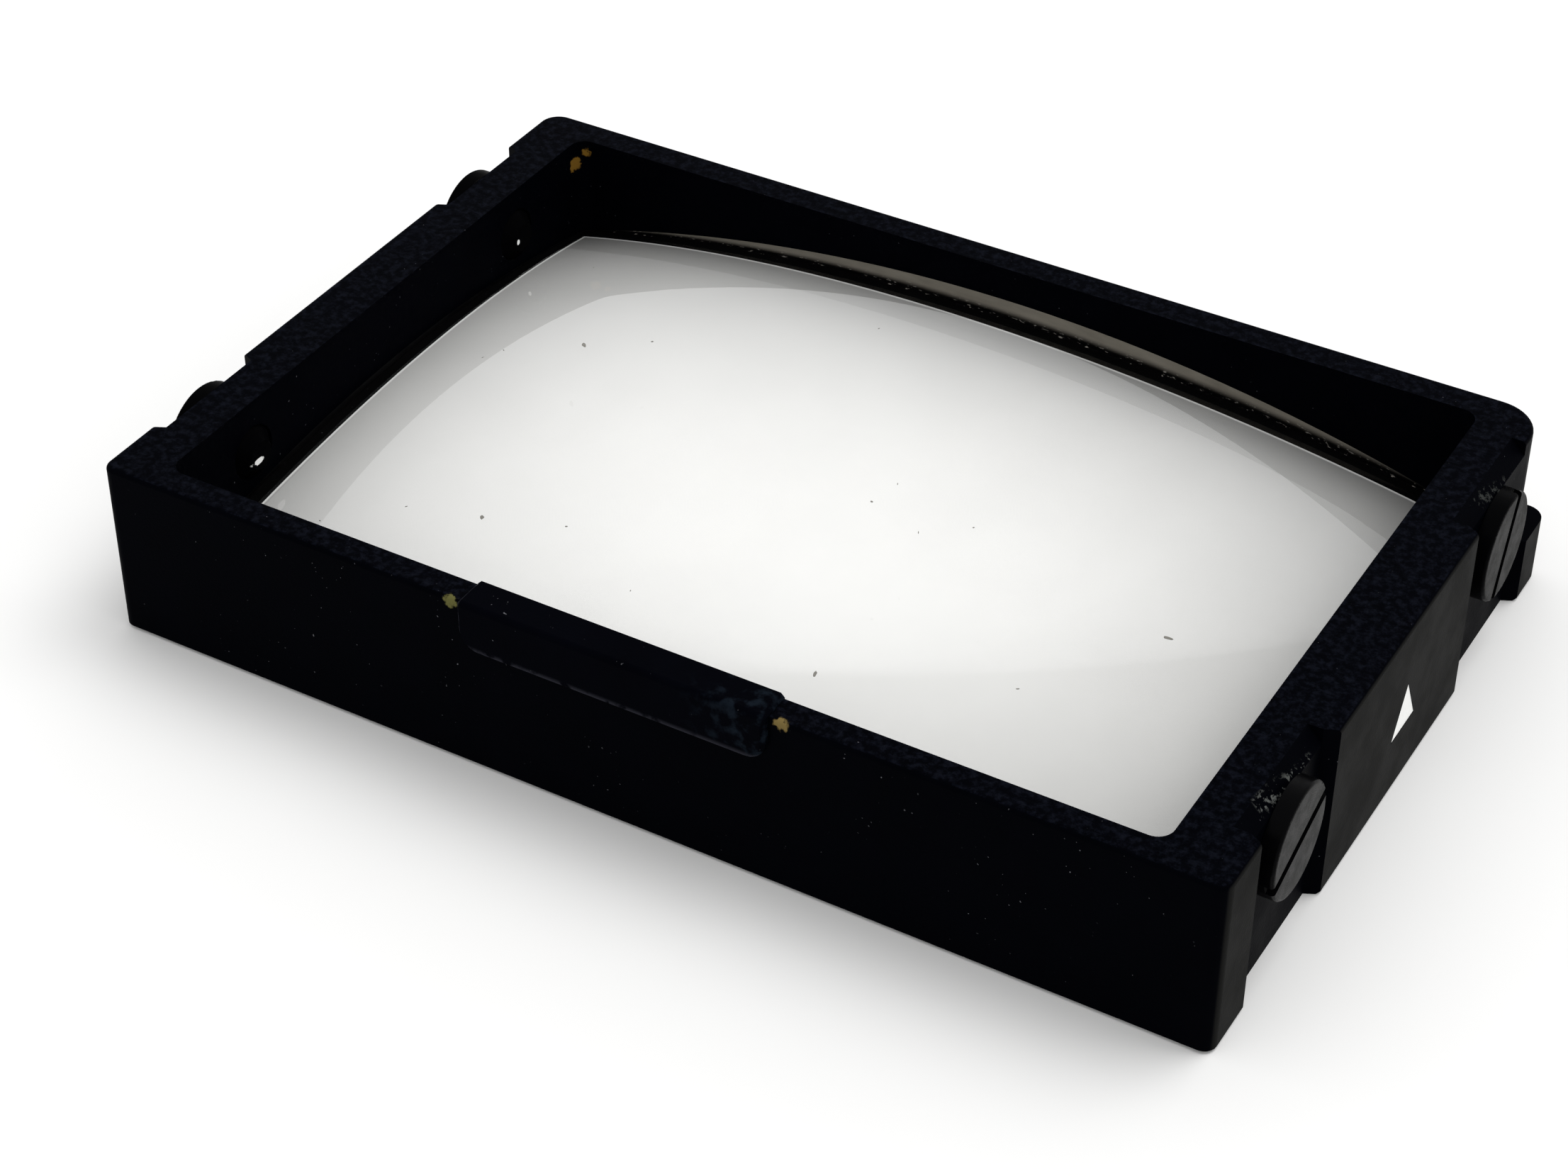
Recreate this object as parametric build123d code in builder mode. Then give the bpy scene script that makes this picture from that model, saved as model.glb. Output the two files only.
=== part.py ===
from build123d import *
import os

# Interchangeable viewfinder focusing screen for the 24 x 36 mm film format.
# A black metal frame holds a matte focusing plate, a thin spacer and a plano-convex condenser
# lens, dropped in from above onto a narrow lip. Four slotted screws in the end walls reach
# in over the edge of the lens and keep the stack down.
# Millimetres. The origin is the centre of the base, +X along the long side, +Y to the back.

os.makedirs("parts", exist_ok=True)

# Frame, outside
frame_length = 42.0
frame_width = 28.0
rim_height = 6.9
front_corner_radius = 0.45
back_corner_radius = 0.8
rim_edge_radius = 0.18
base_edge_chamfer = 0.12

# Frame, window
left_wall = 2.1
right_wall = 2.5
front_wall = 1.05
back_wall = 1.25
window_corner_radius = 0.6
lip_width = 0.35
lip_height = 0.9

# End recesses, in which the screw heads sit: (start, end) along Y, from the frame's middle
recess_depth = 0.5
recess_flank = 0.25
recess_bevel = 0.55
left_recesses = ((-11.3, -6.0), (5.8, 10.9))
right_recesses = ((-11.6, -5.55), (6.15, 12.2))

# Back right corner: above the foot the end face is set back and well rounded
foot_height = 2.65
foot_overhang = 0.3
foot_length = 3.0
foot_corner_radius = 0.7
set_back_corner_radius = 1.6

# Finger lug over the front wall
lug_start = -6.15
lug_end = 5.4
lug_rise = 0.2
lug_overhang = 0.3
lug_drop = 1.75
lug_end_radius = 0.8
lug_edge_radius = 0.2
lug_side_bevel = 0.14

# Optical stack
stack_clearance = 0.05
plate_thickness = 1.25
spacer_thickness = 0.35
spacer_width = 0.55
dome_radius = 64.0
crown_height = rim_height
lens_arris = 0.08

# Side screws: M2 shank, large slotted cheese head
head_radius = 2.0
head_proud = 0.15
head_edge_radius = 0.12
slot_width = 0.42
slot_depth = 0.3
shank_radius = 1.0
shank_clearance = 0.05
shank_tip_reach = 0.35
tip_chamfer = 0.45
head_seat_gap = 0.02

# Place of each screw, along Y and above the base, with the tilt of its slot from upright
left_screws = {"front": (-8.5, 4.85, 62.0), "back": (8.15, 4.95, 84.0)}
right_screws = {"front": (-8.6, 4.72, -69.5), "back": (9.15, 4.45, -20.5)}

# Engraved index triangle on the right end face, filled with white paint
index_y = 0.7
index_z = 2.45
index_width = 2.0
index_rise = 1.9
index_depth = 0.15
index_paint_depth = 0.13

half_length = frame_length / 2
half_width = frame_width / 2
window_left = -half_length + left_wall
window_right = half_length - right_wall
window_front = -half_width + front_wall
window_back = half_width - back_wall
window_length = window_right - window_left
window_width = window_back - window_front
window_center = ((window_left + window_right) / 2, (window_front + window_back) / 2)
recess_floor = half_length - recess_depth
foot_start = right_recesses[1][1]

plate_bottom = lip_height
plate_top = plate_bottom + plate_thickness
spacer_top = plate_top + spacer_thickness
lens_bottom = spacer_top


def window_outline(margin, mode=Mode.ADD):
    """Adds the window's rounded rectangle to the sketch, drawn in by a margin on every side."""
    with Locations(window_center):
        RectangleRounded(
            window_length - 2 * margin,
            window_width - 2 * margin,
            window_corner_radius - margin,
            mode=mode,
        )


def recess_outline(side, start, end):
    """Adds the plan of one end recess: a trapezium whose flanks lean in towards its floor."""
    past_face = half_length + recess_depth
    Polygon(
        (side * recess_floor, start + recess_flank),
        (side * recess_floor, end - recess_flank),
        (side * past_face, end + recess_flank),
        (side * past_face, start - recess_flank),
        align=None,
    )


def index_outline():
    """Adds the index triangle, in the plane of the end face."""
    Polygon(
        (index_y - index_width / 2, index_z),
        (index_y + index_width / 2, index_z),
        (index_y, index_z + index_rise),
        align=None,
    )


with BuildPart() as frame:
    # Block with its four upright corners rounded
    with BuildSketch(Plane.XY):
        Rectangle(frame_length, frame_width)
    extrude(amount=rim_height)
    upright = frame.edges().filter_by(Axis.Z)
    fillet(upright.group_by(Axis.Y)[0], front_corner_radius)
    fillet(upright.group_by(Axis.Y)[-1], back_corner_radius)

    # Above the foot, the back right corner is set back to the recess floor and rounded
    with BuildSketch(Plane.XY.offset(foot_height)):
        with BuildLine():
            corner_x = recess_floor - set_back_corner_radius
            corner_y = half_width - set_back_corner_radius
            Line((recess_floor, foot_start - 1.0), (recess_floor, corner_y))
            RadiusArc((recess_floor, corner_y), (corner_x, half_width), -set_back_corner_radius)
            Polyline(
                (corner_x, half_width),
                (corner_x, half_width + 1.0),
                (half_length + 1.0, half_width + 1.0),
                (half_length + 1.0, foot_start - 1.0),
                (recess_floor, foot_start - 1.0),
            )
        make_face()
    extrude(amount=rim_height - foot_height, mode=Mode.SUBTRACT)

    # The foot below stands a little proud of the back face
    with BuildSketch(Plane.XY):
        with Locations((half_length - foot_length / 2, half_width + foot_overhang - foot_length / 2)):
            RectangleRounded(foot_length, foot_length, foot_corner_radius)
        with Locations(window_center):
            Rectangle(window_length, window_width, mode=Mode.SUBTRACT)
    extrude(amount=foot_height)

    # Softened rim and base edges
    fillet(frame.faces().sort_by(Axis.Z)[-1].outer_wire().edges(), rim_edge_radius)
    chamfer(frame.faces().sort_by(Axis.Z)[0].outer_wire().edges(), base_edge_chamfer)

    # Recesses in both ends
    for side, recesses in ((-1, left_recesses), (1, right_recesses)):
        for start, end in recesses:
            with BuildSketch(Plane.XY):
                recess_outline(side, start, end)
            extrude(amount=rim_height, mode=Mode.SUBTRACT)

    # The recesses of the right end are bevelled where they meet the rim
    for start, end in right_recesses:
        with BuildSketch(Plane.XZ.offset(-(end - recess_flank))):
            Polygon(
                (recess_floor, rim_height - recess_bevel),
                (recess_floor - recess_bevel, rim_height),
                (recess_floor, rim_height),
                align=None,
            )
        extrude(amount=end - start - 2 * recess_flank, mode=Mode.SUBTRACT)

    # Window, with a narrow lip left at the base for the focusing plate
    with BuildSketch(Plane.XY):
        window_outline(lip_width)
    extrude(amount=rim_height, mode=Mode.SUBTRACT)
    with BuildSketch(Plane.XY.offset(lip_height)):
        window_outline(0)
    extrude(amount=rim_height - lip_height, mode=Mode.SUBTRACT)

    # Holes for the side screws, through both end walls
    for side, screws in ((-1, left_screws), (1, right_screws)):
        for screw_y, screw_z, _ in screws.values():
            with BuildSketch(Plane.YZ.offset(side * half_length)):
                with Locations((screw_y, screw_z)):
                    Circle(shank_radius + shank_clearance)
            extrude(amount=-side * (max(left_wall, right_wall) + 1.0), mode=Mode.SUBTRACT)

    # Engraved index triangle on the right end face
    with BuildSketch(Plane.YZ.offset(half_length)):
        index_outline()
    extrude(amount=-index_depth, mode=Mode.SUBTRACT)
frame.part.label = "frame"
export_step(frame.part, "parts/frame.step")


with BuildPart() as finger_lug:
    # A strip bent over the front wall: flat on the rim and down the front face
    with BuildSketch(Plane.YZ.offset(lug_start)):
        Polygon(
            (window_front, rim_height),
            (window_front, rim_height + lug_rise),
            (-half_width - lug_overhang, rim_height + lug_rise),
            (-half_width - lug_overhang, rim_height - lug_drop),
            (-half_width, rim_height - lug_drop),
            (-half_width, rim_height),
            align=None,
        )
    extrude(amount=lug_end - lug_start)
    cross_edges = finger_lug.edges().filter_by(Axis.Y)
    fillet(cross_edges.group_by(Axis.Z)[0], lug_end_radius)
    front_top_edge = finger_lug.edges().filter_by(Axis.X).group_by(Axis.Z)[-1].sort_by(Axis.Y)[0]
    fillet(front_top_edge, lug_edge_radius)
    top_side_edges = finger_lug.faces().sort_by(Axis.Z)[-1].edges().filter_by(Axis.Y)
    chamfer(top_side_edges, lug_side_bevel)
finger_lug.part.label = "finger_lug"
export_step(finger_lug.part, "parts/finger_lug.step")


with BuildPart() as focusing_plate:
    with BuildSketch(Plane.XY.offset(plate_bottom)):
        window_outline(stack_clearance)
    extrude(amount=plate_thickness)
focusing_plate.part.label = "focusing_plate"
export_step(focusing_plate.part, "parts/focusing_plate.step")


with BuildPart() as spacer:
    with BuildSketch(Plane.XY.offset(plate_top)):
        window_outline(stack_clearance)
        window_outline(spacer_width, mode=Mode.SUBTRACT)
    extrude(amount=spacer_thickness)
spacer.part.label = "spacer"
export_step(spacer.part, "parts/spacer.step")


with BuildPart() as condenser_lens:
    with BuildSketch(Plane.XY.offset(lens_bottom)):
        window_outline(stack_clearance)
    extrude(amount=crown_height - lens_bottom)
    with Locations((window_center[0], window_center[1], crown_height - dome_radius)):
        Sphere(dome_radius, mode=Mode.INTERSECT)
    chamfer(condenser_lens.faces().sort_by(Axis.Z)[0].edges(), lens_arris)
condenser_lens.part.label = "condenser_lens"
export_step(condenser_lens.part, "parts/condenser_lens.step")


with BuildPart() as index_mark:
    with BuildSketch(Plane.YZ.offset(half_length - index_depth)):
        index_outline()
    extrude(amount=index_paint_depth)
index_mark.part.label = "index_mark"
export_step(index_mark.part, "parts/index_mark.step")


def side_screw(side, wall, screw_y, screw_z, slot_angle):
    """One clamping screw, its head outside the end wall and its tip over the edge of the lens."""
    face = half_length + head_proud
    head_back = recess_floor + head_seat_gap
    tip = half_length - wall - shank_tip_reach
    with BuildPart() as screw:
        with BuildSketch(Plane.YZ.offset(side * face)):
            with Locations((screw_y, screw_z)):
                Circle(head_radius)
        extrude(amount=-side * (face - head_back))
        outer_face = screw.faces().sort_by(Axis.X, reverse=side < 0)[-1]
        fillet(outer_face.edges(), head_edge_radius)
        with BuildSketch(Plane.YZ.offset(side * head_back)):
            with Locations((screw_y, screw_z)):
                Circle(shank_radius)
        extrude(amount=-side * (head_back - tip))
        tip_face = screw.faces().sort_by(Axis.X, reverse=side < 0)[0]
        chamfer(tip_face.edges(), tip_chamfer)
        with BuildSketch(Plane.YZ.offset(side * face)):
            with Locations(Location((screw_y, screw_z), slot_angle)):
                Rectangle(slot_width, 2 * head_radius + 1.0)
        extrude(amount=-side * slot_depth, mode=Mode.SUBTRACT)
    return screw.part


for side_name, side, wall, screws in (
    ("left", -1, left_wall, left_screws),
    ("right", 1, right_wall, right_screws),
):
    for place_name, (screw_y, screw_z, slot_angle) in screws.items():
        screw = side_screw(side, wall, screw_y, screw_z, slot_angle)
        screw.label = f"side_screw_{side_name}_{place_name}"
        export_step(screw, f"parts/{screw.label}.step")
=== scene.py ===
"""A viewfinder focusing screen: looks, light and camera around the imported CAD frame, in metres."""

import math
import random

import bpy
from mathutils import Matrix, Vector


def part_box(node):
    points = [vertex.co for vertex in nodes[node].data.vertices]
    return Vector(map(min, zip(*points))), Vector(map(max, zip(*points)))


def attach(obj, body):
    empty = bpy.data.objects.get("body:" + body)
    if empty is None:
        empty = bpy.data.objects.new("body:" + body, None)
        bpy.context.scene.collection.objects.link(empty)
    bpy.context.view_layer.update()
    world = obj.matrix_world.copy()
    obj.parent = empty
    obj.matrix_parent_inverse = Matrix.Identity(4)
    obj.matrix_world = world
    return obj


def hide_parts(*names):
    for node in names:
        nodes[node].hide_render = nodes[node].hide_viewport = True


MM = 0.001

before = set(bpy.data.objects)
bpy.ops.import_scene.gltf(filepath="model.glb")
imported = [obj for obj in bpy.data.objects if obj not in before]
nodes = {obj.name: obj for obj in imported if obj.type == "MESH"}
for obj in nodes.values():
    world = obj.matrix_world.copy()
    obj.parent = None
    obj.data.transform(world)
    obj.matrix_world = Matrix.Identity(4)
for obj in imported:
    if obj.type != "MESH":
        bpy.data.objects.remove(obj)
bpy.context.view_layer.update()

# Places and sizes that come from the frame
lug_low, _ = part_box("finger_lug")
lens_low, lens_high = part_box("condenser_lens")
plate_low, plate_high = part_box("focusing_plate")
lens_middle = ((lens_low + lens_high) / 2).to_2d()

# Camera, at the photograph's viewing angle
CAMERA_AZIMUTH = 30.12
CAMERA_ELEVATION = 37.79
CAMERA_ROLL = 0.16
CAMERA_PLACE = Vector((46.11, -83.20, 74.24)) * MM
CAMERA_LENS = 77.56
CAMERA_NEAR = 1.0 * MM

# Condenser lens. The lower part of its ground edge is black, up to EDGE_BLACK_TOP.
DOME_RADIUS = 64.0 * MM
LENS_CORNER = 0.55 * MM
LENS_ARRIS = 0.06 * MM
LENS_RINGS = 36
CORNER_STEPS = 10
OUTLINE_STEP = 1.0 * MM
GLASS_IOR = 1.52
EDGE_BLACK_TOP = 3.35 * MM

# Focusing plate: its painted brightness, and how strongly and how far in its painted shade reaches towards
# each wall
PLATE_GAIN = 1.15
PLATE_FALLOFF = 7.0 * MM
LEFT_LOSS = 0.58
RIGHT_LOSS = 0.56
FRONT_LOSS = 0.31
BACK_LOSS = 0.69
PLATE_RING_PITCH = 0.05 * MM
SPACER_WIDTH = 0.5 * MM

# Frame: sheen of its nearly dead matte paint, and where its end faces and its rim begin
PAINT_SHEEN = 0.004
END_FACE_FROM = 20.88 * MM
END_FACE_FULL = 20.96 * MM
RIM_FROM = 6.6 * MM

# Chipped upper edges of the right recesses: start and end along Y, and how badly they are chipped.
# The line of chips runs outwards from CHIPS_INNER at the start to CHIPS_OUTER at the end.
CHIPPED_EDGES = ((-10.1 * MM, -6.5 * MM, 1.0), (7.9 * MM, 10.4 * MM, 0.35))
CHIPS_INNER = 20.15 * MM
CHIPS_OUTER = 20.6 * MM
CHIPS_FROM = 6.3 * MM

# Screws: pitch of the turned rings, and where the heads begin
TURNING_PITCH = 0.09 * MM
HEAD_FROM = 20.5 * MM

# Dust on the dome, in millimetres: (x, y, size) of the larger flakes, and the spread of the fine ones
LARGE_FLAKES = ((-11.71, 1.9, 0.13), (-9.07, -8.57, 0.1), (4.98, -10.3, 0.09), (13.7, -2.3, 0.12))
FINE_FLAKES = 14
DUST_REACH_X = 17
DUST_REACH_Y = 11.5
DUST_SEED = 7

# Light: pale surroundings and one soft key lamp
ROOM_COLOR = (0.99, 0.993, 1.0, 1.0)
ROOM_STRENGTH = 0.9
KEY_AZIMUTH = 50.0
KEY_ELEVATION = 65.0
KEY_DISTANCE = 0.8
KEY_SIZE = 0.5
KEY_POWER = 2.9

# Floor, a hair below the base so that the two never share a plane
FLOOR_SIZE = 3.0
FLOOR_GAP = 0.02 * MM


# ---------------------------------------------------------------- node helpers


class Tree:
    """A short way to write a material's nodes."""

    def __init__(self, name):
        self.material = bpy.data.materials.new(name)
        self.material.use_nodes = True
        self.nodes = self.material.node_tree.nodes
        self.links = self.material.node_tree.links
        self.shader = next(n for n in self.nodes if n.type == "BSDF_PRINCIPLED")
        self.place = self.add("ShaderNodeTexCoord").outputs["Object"]

    def add(self, kind, inputs=None, **settings):
        node = self.nodes.new(kind)
        for key, value in settings.items():
            setattr(node, key, value)
        for key, value in (inputs or {}).items():
            self.put(node.inputs[key], value)
        return node

    def put(self, socket, value):
        if isinstance(value, bpy.types.NodeSocket):
            self.links.new(value, socket)
        else:
            socket.default_value = value

    def shade(self, **values):
        for key, value in values.items():
            self.put(self.shader.inputs[key.replace("_", " ")], value)

    def math(self, operation, *values):
        node = self.add("ShaderNodeMath", operation=operation)
        for socket, value in zip(node.inputs, values):
            self.put(socket, value)
        return node.outputs[0]

    def times(self, first, *others):
        """The product of two or more values."""
        for other in others:
            first = self.math("MULTIPLY", first, other)
        return first

    def axes(self, vector=None):
        """The three parts of a vector, by default of the place on the object."""
        return self.add("ShaderNodeSeparateXYZ", {0: vector or self.place}).outputs[:3]

    def noise(self, size, detail=2.0, roughness=0.5, vector=None):
        """Noise from 0 to 1 whose blotches are about size metres across."""
        inputs = {"Vector": vector or self.place, "Scale": 1 / size}
        inputs.update({"Detail": detail, "Roughness": roughness})
        return self.add("ShaderNodeTexNoise", inputs).outputs["Fac"]

    def ramp(self, value, low, high, out_low=0.0, out_high=1.0):
        """Maps low..high to out_low..out_high, smoothly, and holds it there outside."""
        inputs = {"Value": value, "From Min": low, "From Max": high}
        inputs.update({"To Min": out_low, "To Max": out_high})
        return self.add("ShaderNodeMapRange", inputs, interpolation_type="SMOOTHSTEP").outputs[0]

    def mix(self, factor, first, second):
        node = self.add("ShaderNodeMix", data_type="RGBA")
        for index, value in ((0, factor), (6, first), (7, second)):
            self.put(node.inputs[index], value)
        return node.outputs[2]

    def near(self, point, reach, squash=(1.0, 1.0, 1.0)):
        """1 at a point, falling to 0 at a distance of reach; squash narrows it along an axis."""
        offset = self.add("ShaderNodeVectorMath", {0: self.place, 1: point}, operation="SUBTRACT")
        scaled = self.add("ShaderNodeVectorMath", {0: offset.outputs[0], 1: squash}, operation="MULTIPLY")
        length = self.add("ShaderNodeVectorMath", {0: scaled.outputs[0]}, operation="LENGTH")
        return self.ramp(length.outputs["Value"], 0.0, reach, 1.0, 0.0)

    def bump(self, height, depth):
        """A bump whose full height is depth metres."""
        return self.add("ShaderNodeBump", {"Height": height, "Distance": depth, "Strength": 1.0}).outputs[0]


def color(red, green, blue):
    return (red, green, blue, 1.0)


# ---------------------------------------------------------------- materials


def black_paint(tree, dark, light, dust_amount=0.5):
    """Base colour of the black paint: cloudy, with fine pale dust."""
    cloud = tree.noise(2.2 * MM, detail=4.0, roughness=0.6)
    speck = tree.ramp(tree.noise(0.13 * MM, detail=1.0), 0.77, 0.81)
    dusty = tree.ramp(tree.noise(3.0 * MM, detail=3.0), 0.42, 0.65)
    dust = tree.times(speck, dusty, dust_amount)
    tree.shade(
        Roughness=tree.ramp(cloud, 0.3, 0.7, 0.34, 0.46),
        Specular_IOR_Level=PAINT_SHEEN,
        Normal=tree.bump(tree.noise(0.12 * MM, detail=3.0), 0.006 * MM),
    )
    return tree.mix(dust, tree.mix(cloud, dark, light), color(0.2, 0.2, 0.22))


def bare_brass(tree, base, spots):
    """Brass showing through at small ragged spots: (place, reach, colour)."""
    for point, reach, tint in spots:
        ragged = tree.times(tree.near(point, reach), tree.noise(0.18 * MM, detail=4.0))
        base = tree.mix(tree.ramp(ragged, 0.2, 0.34), base, tint)
    return base


def frame_paint(brass_spots):
    """Dead black paint: a painted reflection greys the outward end faces, a rim with grain and painted
    sheen, and chipped edges of the right recesses.
    """
    tree = Tree("frame_paint")
    base = black_paint(tree, color(0.0003, 0.0004, 0.0009), color(0.0009, 0.0011, 0.0022))
    x, y, z = tree.axes()
    sideways, _, upward = tree.axes(tree.add("ShaderNodeNewGeometry").outputs["Normal"])
    end_face = tree.ramp(tree.math("ABSOLUTE", x), END_FACE_FROM, END_FACE_FULL)
    facing_out = tree.ramp(tree.math("ABSOLUTE", sideways), 0.6, 0.95)
    # The grey on the outward-facing end faces is a painted reflection of the bright floor
    painted_highlight_grey = color(0.009, 0.009, 0.0085)
    base = tree.mix(tree.times(end_face, facing_out, 0.9), base, painted_highlight_grey)
    # The blue on the rim top is fine grain together with painted sheen
    rim = tree.times(tree.math("GREATER_THAN", z, RIM_FROM), tree.ramp(upward, 0.8, 0.95))
    grain = tree.ramp(tree.noise(0.3 * MM, detail=5.0, roughness=0.7), 0.42, 0.7)
    grain_and_sheen_blue = color(0.0042, 0.005, 0.0085)
    base = tree.mix(tree.times(rim, grain), base, grain_and_sheen_blue)
    chips = tree.ramp(tree.noise(0.32 * MM, detail=3.0, roughness=0.7), 0.54, 0.62)
    above = tree.math("GREATER_THAN", z, CHIPS_FROM)
    bare_metal = color(0.085, 0.09, 0.085)
    for start, end, share in CHIPPED_EDGES:
        begins = tree.ramp(y, start, start + 0.2 * MM)
        ends = tree.ramp(y, end - 0.2 * MM, end, 1.0, 0.0)
        across = tree.math("SUBTRACT", x, tree.ramp(y, start, end, CHIPS_INNER, CHIPS_OUTER))
        edge = tree.ramp(tree.math("ABSOLUTE", across), 0.08 * MM, 0.3 * MM, share, 0.0)
        base = tree.mix(tree.times(begins, ends, edge, above, chips), base, bare_metal)
    tree.shade(Base_Color=bare_brass(tree, base, brass_spots))
    return tree.material


def lug_paint(brass_spots):
    """Thinner, bluer black: a painted highlight along its outline, and its right end smeared."""
    tree = Tree("lug_paint")
    base = black_paint(tree, color(0.0004, 0.0005, 0.0012), color(0.0011, 0.0013, 0.0028))
    x, _, z = tree.axes()
    right_end = tree.ramp(x, 2.0 * MM, 4.6 * MM)
    smear = tree.times(right_end, tree.ramp(tree.noise(0.45 * MM, detail=4.0), 0.48, 0.7), 0.6)
    smear_blue = color(0.009, 0.014, 0.021)
    base = tree.mix(smear, base, smear_blue)
    # Painted highlight along the lower edge and left end, broken up in patches
    low_edge = tree.ramp(z, lug_low.z + 0.1 * MM, lug_low.z + 0.34 * MM, 1.0, 0.0)
    left_edge = tree.ramp(x, lug_low.x, lug_low.x + 0.14 * MM, 1.0, 0.0)
    outline = tree.math("MAXIMUM", low_edge, left_edge)
    edge_highlight = tree.times(outline, tree.ramp(tree.noise(0.4 * MM), 0.3, 0.5), 0.8)
    painted_highlight_grey = color(0.026, 0.026, 0.034)
    base = tree.mix(edge_highlight, base, painted_highlight_grey)
    tree.shade(Base_Color=bare_brass(tree, base, brass_spots))
    return tree.material


def spacer_black():
    """Plain black, dusty."""
    tree = Tree("spacer_black")
    base = black_paint(tree, color(0.001, 0.001, 0.001), color(0.003, 0.003, 0.003), 1.0)
    tree.shade(Base_Color=base)
    return tree.material


def blackened_steel(name, center, glint_spot, sheen):
    """A turned, blackened screw: faint rings on its face, painted shade on its side and a painted glint
    where its tip is worn bright.
    """
    tree = Tree(name)
    x, y, z = tree.axes()
    across = tree.math("SUBTRACT", y, center.y)
    up = tree.math("SUBTRACT", z, center.z)
    squares = tree.math("ADD", tree.times(across, across), tree.times(up, up))
    radius = tree.math("SQRT", squares)
    rings = tree.math("SINE", tree.times(radius, 2 * math.pi / TURNING_PITCH))
    grime = tree.noise(0.5 * MM, detail=4.0)
    speckle = tree.noise(0.07 * MM, detail=2.0)
    base = tree.mix(grime, color(0.004, 0.004, 0.0039), color(0.01, 0.01, 0.0098))
    base = tree.mix(tree.ramp(speckle, 0.55, 0.75, 0.0, 0.4), base, color(0.09, 0.09, 0.088))
    sideways = tree.axes(tree.add("ShaderNodeNewGeometry").outputs["Normal"])[0]
    head = tree.math("GREATER_THAN", tree.math("ABSOLUTE", x), HEAD_FROM)
    face = tree.times(head, tree.ramp(tree.math("ABSOLUTE", sideways), 0.7, 0.95))
    # The head's side gets painted shade, darker than its face
    base = tree.mix(face, color(0.0008, 0.0008, 0.001), base)
    spot, reach, squash = glint_spot
    ragged = tree.ramp(tree.noise(0.2 * MM, detail=3.0), 0.3, 0.6, 0.4, 1.0)
    glint = tree.times(tree.near(spot, reach, squash), ragged)
    # The bright spot on the tip is a painted glint on bare metal worn through
    base = tree.mix(tree.ramp(glint, 0.28, 0.4), base, color(0.9, 0.9, 0.88))
    height = tree.math("ADD", tree.times(rings, 0.25), tree.noise(0.1 * MM, detail=3.0))
    tree.shade(
        Base_Color=base,
        Roughness=tree.ramp(grime, 0.3, 0.7, 0.3, 0.42),
        Specular_IOR_Level=sheen,
        Normal=tree.bump(height, 0.003 * MM),
    )
    return tree.material


def polished_glass():
    """Clear glass, polished."""
    tree = Tree("polished_glass")
    tree.shade(
        Base_Color=color(1.0, 1.0, 1.0),
        Roughness=tree.ramp(tree.noise(4.0 * MM), 0.6, 0.9, 0.0, 0.02),
        IOR=GLASS_IOR,
        Transmission_Weight=1.0,
    )
    return tree.material


def ground_glass_edge():
    """Ground edge of the lens: painted light at the back, above a black lower part; painted shade
    elsewhere.
    """
    tree = Tree("ground_glass_edge")
    _, y, z = tree.axes()
    # The grey at the back is painted light; the black on the other sides is painted shade
    back = tree.ramp(y, lens_high.y - 0.6 * MM, lens_high.y - 0.2 * MM)
    upper = tree.ramp(z, EDGE_BLACK_TOP - 0.4 * MM, EDGE_BLACK_TOP + 0.7 * MM)
    dark_grey, light_grey = color(0.13, 0.117, 0.095), color(0.23, 0.213, 0.18)
    cloud = tree.mix(tree.noise(1.5 * MM, detail=3.0), dark_grey, light_grey)
    specks = tree.ramp(tree.noise(0.2 * MM, detail=2.0), 0.64, 0.7, 0.0, 0.7)
    black_and_painted_shade, speck_grey = color(0.0012, 0.001, 0.001), color(0.3, 0.28, 0.25)
    black = tree.mix(tree.times(specks, back), black_and_painted_shade, speck_grey)
    base = tree.mix(tree.times(back, upper), black, cloud)
    grain = tree.noise(0.15 * MM, detail=4.0)
    bump = tree.bump(grain, 0.01 * MM)
    tree.shade(Base_Color=base, Roughness=0.8, Specular_IOR_Level=0.05, Normal=bump)
    return tree.material


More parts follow.
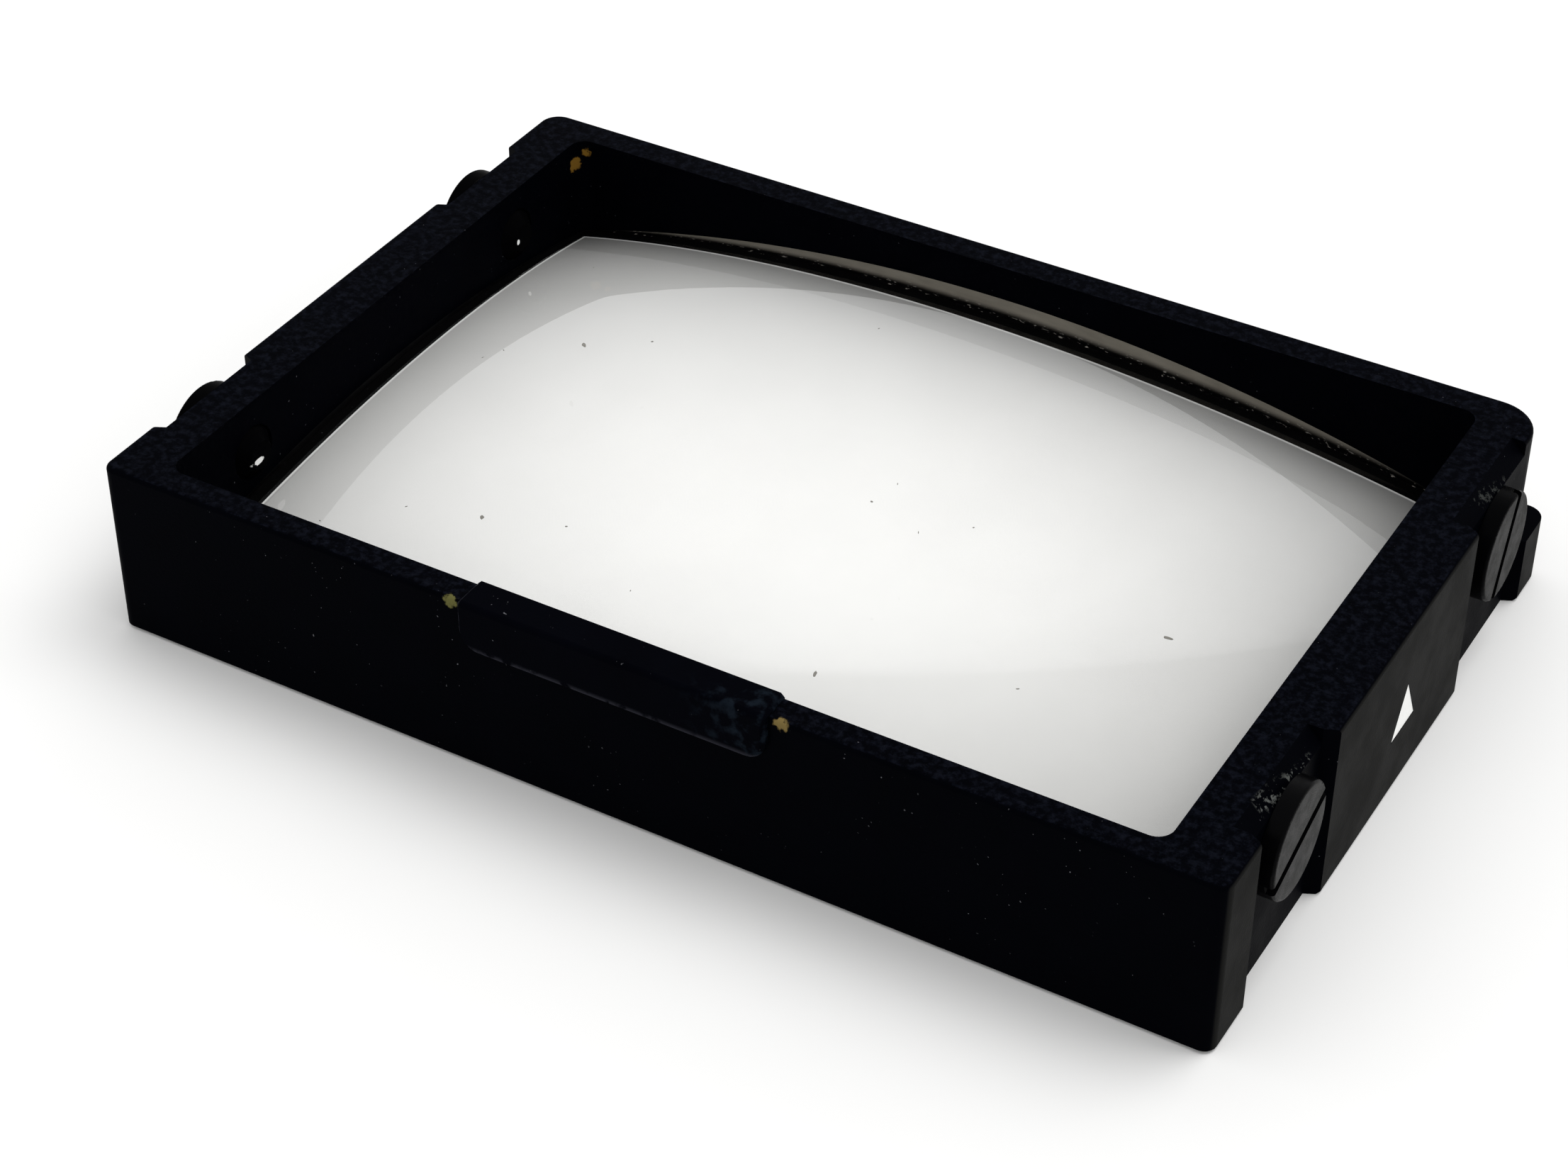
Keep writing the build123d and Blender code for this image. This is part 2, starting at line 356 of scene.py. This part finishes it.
def focusing_plate_matte():
    """Ground plate in painted light: painted shade towards the black walls, and a thin painted highlight
    along the spacer.
    """
    tree = Tree("focusing_plate_matte")
    x, y, _ = tree.axes()
    middle = (plate_low + plate_high) / 2
    half = (plate_high - plate_low) / 2
    off_x = tree.math("ABSOLUTE", tree.math("SUBTRACT", x, middle.x))
    off_y = tree.math("ABSOLUTE", tree.math("SUBTRACT", y, middle.y))
    # The plate's brightness is painted light, with painted shade towards each wall
    light = PLATE_GAIN
    for place, wall, sign, loss in (
        (x, plate_low.x, 1.0, LEFT_LOSS),
        (x, plate_high.x, -1.0, RIGHT_LOSS),
        (y, plate_low.y, 1.0, FRONT_LOSS),
        (y, plate_high.y, -1.0, BACK_LOSS),
    ):
        depth = tree.times(tree.math("SUBTRACT", place, wall), -sign / PLATE_FALLOFF)
        kept = tree.math("MULTIPLY_ADD", tree.math("EXPONENT", depth), -loss, 1.0)
        light = tree.times(light, kept)
    light = tree.math("MINIMUM", light, 1.0)
    mottle = tree.ramp(tree.noise(3.0 * MM, detail=4.0), 0.25, 0.75, 0.97, 1.0)
    light = tree.times(light, mottle)
    gap_x = tree.math("SUBTRACT", half.x - SPACER_WIDTH, off_x)
    gap_y = tree.math("SUBTRACT", half.y - SPACER_WIDTH, off_y)
    gap = tree.math("MINIMUM", gap_x, gap_y)
    # A painted highlight along the plate's edge beside the spacer
    line = tree.ramp(gap, 0.05 * MM, 0.14 * MM, 0.75, 0.0)
    base = tree.mix(light, color(0.0, 0.0, 0.0), color(0.93, 0.927, 0.9))
    base = tree.mix(line, base, color(0.9, 0.9, 0.88))
    squares = tree.math("ADD", tree.math("POWER", off_x, 2.0), tree.math("POWER", off_y, 2.0))
    radius = tree.math("SQRT", squares)
    rings = tree.math("SINE", tree.times(radius, 2 * math.pi / PLATE_RING_PITCH))
    height = tree.math("ADD", tree.times(rings, 0.3), tree.noise(0.06 * MM))
    bump = tree.bump(height, 0.001 * MM)
    tree.shade(Base_Color=base, Roughness=0.7, Specular_IOR_Level=0.1, Normal=bump)
    return tree.material


def white_paint():
    """White paint in the index mark, slightly uneven."""
    tree = Tree("white_paint")
    base = tree.mix(tree.noise(0.3 * MM, detail=3.0), color(0.8, 0.8, 0.78), color(0.92, 0.92, 0.9))
    tree.shade(Base_Color=base, Roughness=0.6, Normal=tree.bump(tree.noise(0.08 * MM), 0.01 * MM))
    return tree.material


# ---------------------------------------------------------------- pieces


def set_material(piece, *materials):
    piece.data.materials.clear()
    for material in materials:
        piece.data.materials.append(material)


def new_object(name, vertices, faces):
    """A mesh object of its own, linked to the scene."""
    mesh = bpy.data.meshes.new(name)
    mesh.from_pydata(vertices, [], faces)
    piece = bpy.data.objects.new(name, mesh)
    bpy.context.scene.collection.objects.link(piece)
    return piece


def dome_height(point):
    """Height of the lens's dome above a point of its plan."""
    flat = (point - lens_middle).length
    return lens_high.z - DOME_RADIUS + math.sqrt(DOME_RADIUS**2 - flat**2)


def rounded_rectangle(low, high, corner, inset=0.0):
    """Points round a rounded rectangle, counter-clockwise, drawn in by inset."""
    radius = corner - inset
    centers = (
        (high.x - corner, high.y - corner, 0),
        (low.x + corner, high.y - corner, 90),
        (low.x + corner, low.y + corner, 180),
        (high.x - corner, low.y + corner, 270),
    )
    points = []
    for x, y, start in centers:
        for step in range(CORNER_STEPS + 1):
            angle = math.radians(start + 90 * step / CORNER_STEPS)
            points.append(Vector((x + radius * math.cos(angle), y + radius * math.sin(angle))))
    spaced = []
    for here, there in zip(points, points[1:] + points[:1]):
        steps = max(1, round((there - here).length / OUTLINE_STEP))
        spaced += [here.lerp(there, step / steps) for step in range(steps)]
    return spaced


def build_lens(polished, ground):
    """Plano-convex block: a domed top, a flat base and a ground edge, with fine arrises between."""
    outline = rounded_rectangle(lens_low, lens_high, LENS_CORNER)
    inner = rounded_rectangle(lens_low, lens_high, LENS_CORNER, LENS_ARRIS)
    count = len(outline)
    vertices = [Vector((*lens_middle, dome_height(lens_middle)))]
    for ring in range(1, LENS_RINGS + 1):
        for point in inner:
            spread = lens_middle.lerp(point, ring / LENS_RINGS)
            vertices.append(Vector((spread.x, spread.y, dome_height(spread))))
    for point in outline:
        vertices.append(Vector((point.x, point.y, dome_height(point) - LENS_ARRIS)))
    for point in outline:
        vertices.append(Vector((point.x, point.y, lens_low.z + LENS_ARRIS)))
    for point in inner:
        vertices.append(Vector((point.x, point.y, lens_low.z)))

    def ring_vertex(ring, index):
        return 1 + (ring - 1) * count + index % count

    faces = [(0, ring_vertex(1, i), ring_vertex(1, i + 1)) for i in range(count)]
    for ring in range(1, LENS_RINGS + 3):
        for i in range(count):
            here, below = ring_vertex(ring, i), ring_vertex(ring + 1, i)
            faces.append((here, below, ring_vertex(ring + 1, i + 1), ring_vertex(ring, i + 1)))
    faces.append(tuple(reversed([ring_vertex(LENS_RINGS + 3, i) for i in range(count)])))

    lens = new_object("condenser_glass", vertices, faces)
    set_material(lens, polished, ground)
    # The three bands of faces below the dome are the ground edge with its arrises
    edge_start = count * LENS_RINGS
    for index, face in enumerate(lens.data.polygons):
        face.use_smooth = True
        face.material_index = int(edge_start <= index < edge_start + 3 * count)
    lens.data.set_sharp_from_angle(angle=math.radians(20))
    # The plate's material carries the light that comes through the glass, so the glass dims nothing
    lens.visible_shadow = False
    lens.visible_diffuse = False
    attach(lens, "frame_body")
    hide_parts("condenser_lens")


def build_dust():
    """Small irregular flakes of dust lying on the dome."""
    source = random.Random(DUST_SEED)
    flakes = list(LARGE_FLAKES)
    for _ in range(FINE_FLAKES):
        x = source.uniform(-DUST_REACH_X, DUST_REACH_X)
        y = source.uniform(-DUST_REACH_Y, DUST_REACH_Y)
        flakes.append((x, y, source.uniform(0.025, 0.05)))
    vertices, faces = [], []
    for x, y, size in flakes:
        start = len(vertices)
        corners = source.randint(6, 9)
        stretch = source.uniform(1.0, 2.0)
        turn = source.uniform(0, math.pi)
        for step in range(corners):
            angle = 2 * math.pi * step / corners
            reach = size * source.uniform(0.6, 1.0) * MM
            along = reach * stretch * math.cos(angle)
            across = reach * math.sin(angle) / stretch
            place = Vector((x, y)) * MM + Vector((along, across)) @ Matrix.Rotation(turn, 2)
            dome = dome_height(place)
            vertices += [(*place, dome + 0.002 * MM), (*place, dome + 0.02 * MM)]
        faces.append([start + 2 * step + 1 for step in range(corners)])
        for step in range(corners):
            here, there = start + 2 * step, start + 2 * ((step + 1) % corners)
            faces.append([here, there, there + 1, here + 1])
    dust = new_object("dust_flakes", vertices, faces)
    tree = Tree("dust_grey")
    tint = tree.mix(tree.noise(0.1 * MM), color(0.1, 0.095, 0.08), color(0.3, 0.29, 0.26))
    tree.shade(Base_Color=tint, Roughness=0.9, Normal=tree.bump(tree.noise(0.03 * MM), 0.005 * MM))
    set_material(dust, tree.material)
    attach(dust, "frame_body")


# Spots worn through to the metal or stained: place, reach and colour
BRASS = color(0.16, 0.115, 0.04)
DULL_BRASS = color(0.11, 0.105, 0.035)
BROWN = color(0.17, 0.09, 0.014)
worn_places = (
    (Vector((-6.55, -14.1, 6.8)) * MM, 0.6 * MM, DULL_BRASS),
    (Vector((5.85, -14.1, 6.85)) * MM, 0.6 * MM, BRASS),
    (Vector((-18.9, 12.3, 5.95)) * MM, 0.6 * MM, BROWN),
    (Vector((-18.56, 12.72, 6.4)) * MM, 0.4 * MM, BROWN),
)
set_material(nodes["frame"], frame_paint(worn_places))
set_material(nodes["finger_lug"], lug_paint(worn_places))
set_material(nodes["spacer"], spacer_black())
set_material(nodes["index_mark"], white_paint())
set_material(nodes["focusing_plate"], focusing_plate_matte())
# The plate is translucent, so it casts no shadow
nodes["focusing_plate"].visible_shadow = False

# Screws, each with its sheen and the place, reach and squash of the painted glint on its worn tip
for name, sheen, spot, reach, squash in (
    ("left_front", 0.004, (-18.55, -8.72, 4.7), 0.62, (1.0, 1.0, 3.0)),
    ("left_back", 0.004, (-18.55, 7.77, 4.9), 0.22, (1.0, 1.5, 1.0)),
    ("right_front", 0.03, (18.15, -8.6, 4.72), 0.5, (1.0, 1.0, 2.0)),
    ("right_back", 0.015, (18.15, 9.15, 4.45), 0.4, (1.0, 1.6, 1.0)),
):
    node_name = f"side_screw_{name}"
    low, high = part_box(node_name)
    glint_spot = (Vector(spot) * MM, reach * MM, squash)
    steel = blackened_steel(f"steel_{name}", (low + high) / 2, glint_spot, sheen)
    set_material(nodes[node_name], steel)
build_lens(polished_glass(), ground_glass_edge())
build_dust()


# ---------------------------------------------------------------- stage, light and camera


def build_floor():
    """A plain pale floor."""
    reach = FLOOR_SIZE / 2
    corners = ((-reach, -reach), (reach, -reach), (reach, reach), (-reach, reach))
    floor = new_object("floor", [(x, y, -FLOOR_GAP) for x, y in corners], [(0, 1, 2, 3)])
    tree = Tree("pale_floor")
    tree.shade(Base_Color=color(0.865, 0.862, 0.852), Roughness=0.9, Specular_IOR_Level=0.1)
    set_material(floor, tree.material)


def build_light():
    """Pale surroundings, and a square lamp aimed at the part, its azimuth measured from +Y to +X."""
    world = bpy.data.worlds.new("pale_room")
    world.use_nodes = True
    backdrop = world.node_tree.nodes["Background"]
    backdrop.inputs["Color"].default_value = ROOM_COLOR
    backdrop.inputs["Strength"].default_value = ROOM_STRENGTH
    bpy.context.scene.world = world

    turn, rise = math.radians(KEY_AZIMUTH), math.radians(KEY_ELEVATION)
    toward = Vector((math.cos(rise) * math.sin(turn), math.cos(rise) * math.cos(turn), math.sin(rise)))
    light = bpy.data.lights.new("key", "AREA")
    light.shape = "RECTANGLE"
    light.size = KEY_SIZE
    light.size_y = KEY_SIZE
    light.energy = KEY_POWER
    lamp = bpy.data.objects.new("key", light)
    aim = toward.to_track_quat("Z", "Y").to_matrix().to_4x4()
    lamp.matrix_world = Matrix.Translation(toward * KEY_DISTANCE) @ aim
    # The lamp itself is neither seen through the glass nor mirrored in it
    lamp.visible_transmission = False
    lamp.visible_glossy = False
    bpy.context.scene.collection.objects.link(lamp)


def build_camera():
    """A camera that looks along CAMERA_AZIMUTH, from +Y towards -X, and down by CAMERA_ELEVATION."""
    azimuth, elevation = math.radians(CAMERA_AZIMUTH), math.radians(CAMERA_ELEVATION)
    level = math.cos(elevation)
    forward = Vector((-level * math.sin(azimuth), level * math.cos(azimuth), -math.sin(elevation)))
    lens = bpy.data.cameras.new("camera")
    lens.lens = CAMERA_LENS
    lens.clip_start = CAMERA_NEAR
    camera = bpy.data.objects.new("camera", lens)
    roll = Matrix.Rotation(math.radians(CAMERA_ROLL), 4, "Z")
    turn = forward.to_track_quat("-Z", "Y").to_matrix().to_4x4()
    camera.matrix_world = Matrix.Translation(CAMERA_PLACE) @ turn @ roll
    bpy.context.scene.collection.objects.link(camera)
    bpy.context.scene.camera = camera


build_floor()
build_light()
build_camera()
bpy.context.scene.view_settings.view_transform = "Standard"
